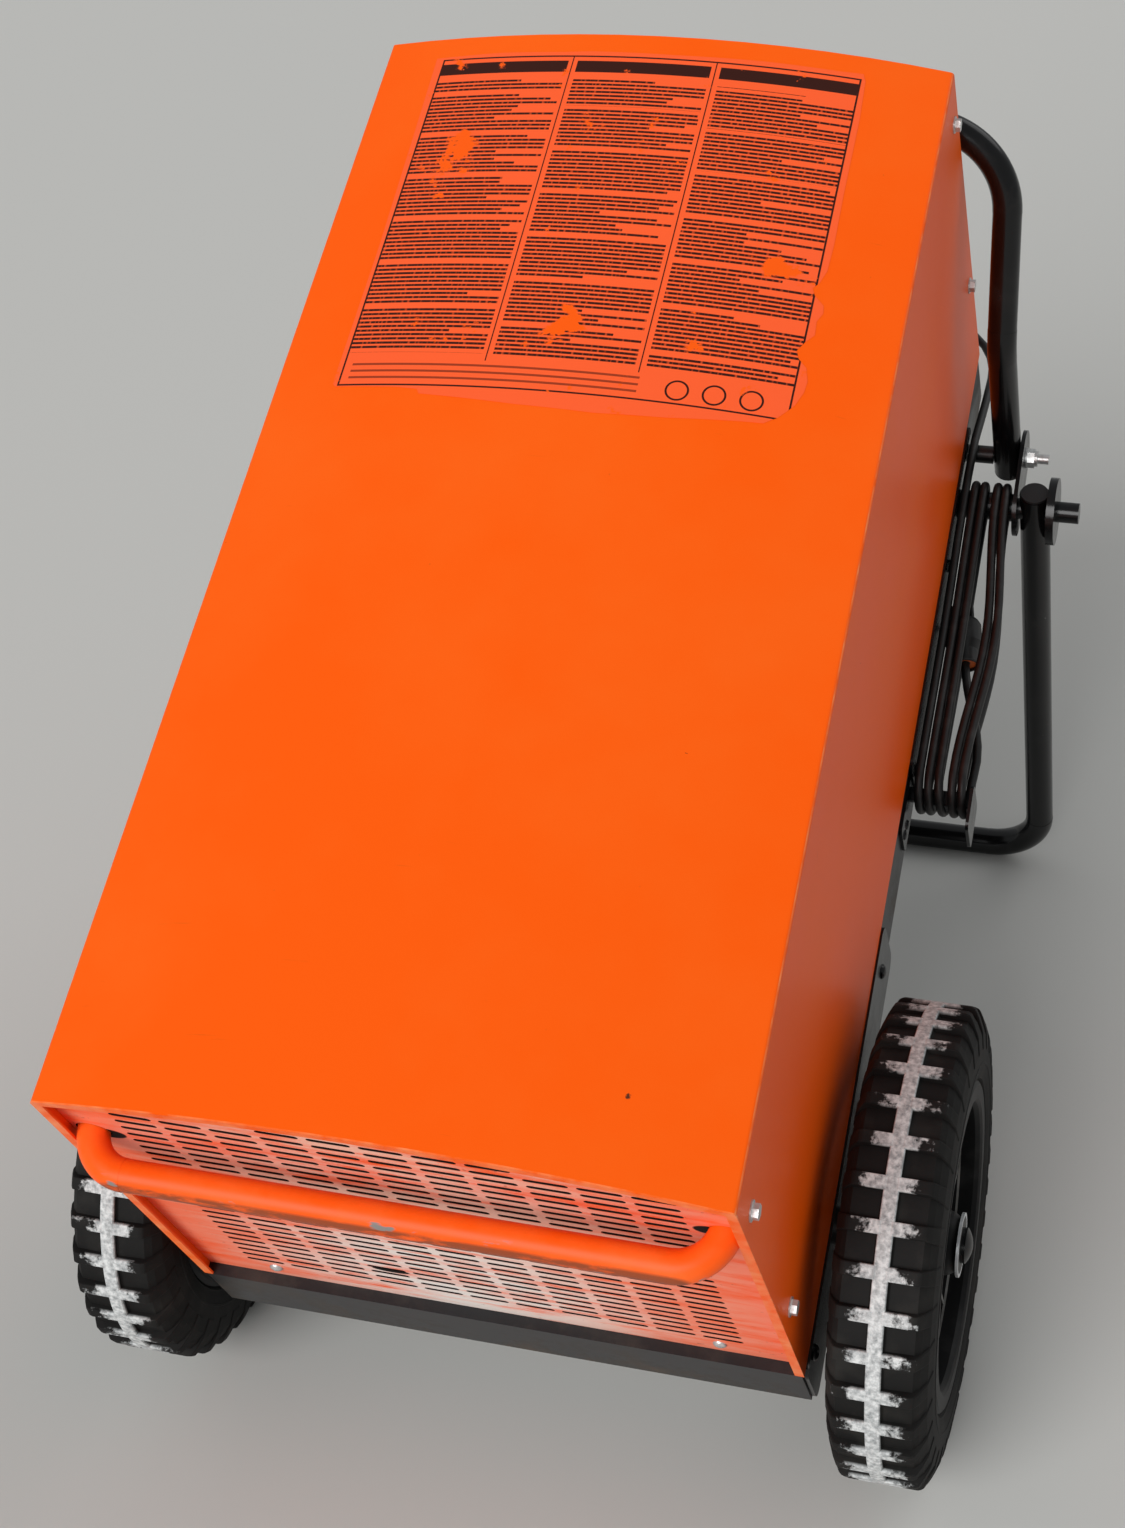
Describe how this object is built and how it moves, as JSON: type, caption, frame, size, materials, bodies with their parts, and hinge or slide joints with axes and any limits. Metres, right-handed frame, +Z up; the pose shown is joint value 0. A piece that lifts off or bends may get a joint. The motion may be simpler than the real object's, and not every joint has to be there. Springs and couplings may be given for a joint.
{
  "type": "wheeled building dryer",
  "caption": "Portable condensation dryer in an orange sheet-metal housing, on block-tread wheels, with a folding push handle, a folding stand and a stowed mains cord.",
  "frame": {"origin": "middle of the footprint on the floor, under the dryer as it rests on its wheels and its stand", "axes": "+X to the side that carries the cord, +Y from the grille end to the handle end, +Z up"},
  "size_m": [0.768, 1.2227, 1.0727],
  "materials": {
    "cover": "bright orange powder coat, lightly soiled",
    "pan": "dark grey powder coat with dust along its edges",
    "frame": "gloss black paint, scuffed",
    "zinc": "zinc-plated steel",
    "galvanised": "plain galvanised sheet",
    "plastic": "black moulded plastic",
    "rim": "dark grey moulded rim",
    "tyre": "black rubber with pale building dust on its lugs",
    "cord": "black rubber",
    "ring": "orange-brown insert",
    "fins": "coated fins",
    "fan": "moulded fan",
    "copper": "copper tube"
  },
  "bodies": {
    "root": {"base_pan": "pan", "near_plate_left": "frame", "near_plate_right": "frame", "far_plate_left": "frame", "far_plate_right": "frame", "cover": "cover", "cover_screws": "zinc", "front_panel": "cover", "rear_panel": "cover", "panel_screws": "zinc", "front_bar": "cover", "axle": "zinc", "axle_cap_left": "plastic", "axle_cap_right": "plastic", "pivot_sleeve_left": "frame", "pivot_sleeve_right": "frame", "pivot_plate_left": "frame", "pivot_plate_right": "frame", "handle_bolt_left": "zinc", "handle_bolt_right": "zinc", "cord_hook": "frame", "cord_gland": "plastic", "cord_lead": "cord", "cord_hank": "cord", "cord_tail": "cord", "plug": "cord", "plug_ring": "ring", "evaporator": "fins", "condenser": "fins", "drip_tray": "pan", "drain_spigot": "plastic", "bulkhead": "galvanised", "fan_motor": "frame", "compressor": "frame", "compressor_feet": "cord", "electrical_box": "galvanised", "capacitor": "galvanised", "suction_pipe": "copper", "hot_gas_pipe": "copper", "switch_bezel": "plastic"},
    "wheel_left": {"rim_left": "rim", "tyre_left": "tyre"},
    "wheel_right": {"rim_right": "rim", "tyre_right": "tyre"},
    "push_handle": {"handle": "frame", "handle_caps": "plastic"},
    "stand": {"stand_frame": "frame", "stand_shaft": "frame", "leg_caps": "plastic"},
    "fan": {"fan": "fan"},
    "rocker": {"switch_rocker": "plastic"}
  },
  "joints": [
    {"name": "wheel_left_spin", "type": "hinge", "parent": "root", "child": "wheel_left", "pos_m": [0, -0.22634, 0.2], "axis": [1, 0, 0], "continuous": true},
    {"name": "wheel_right_spin", "type": "hinge", "parent": "root", "child": "wheel_right", "pos_m": [0, -0.22634, 0.2], "axis": [1, 0, 0], "continuous": true},
    {"name": "handle_fold", "type": "hinge", "parent": "root", "child": "push_handle", "pos_m": [0, 0.46127, 0.59166], "axis": [1, 0, 0], "range_deg": [-150, 0]},
    {"name": "stand_fold", "type": "hinge", "parent": "root", "child": "stand", "pos_m": [0, 0.41376, 0.5596], "axis": [1, 0, 0], "range_deg": [-62, 0]},
    {"name": "fan_spin", "type": "hinge", "parent": "root", "child": "fan", "pos_m": [0, 0.04105, 0.65137], "axis": [0, 0.8829, 0.4695], "continuous": true},
    {"name": "switch_rock", "type": "hinge", "parent": "root", "child": "rocker", "pos_m": [0.15, 0.48479, 0.72422], "axis": [1, 0, 0], "range_deg": [0, 16]}
  ]
}
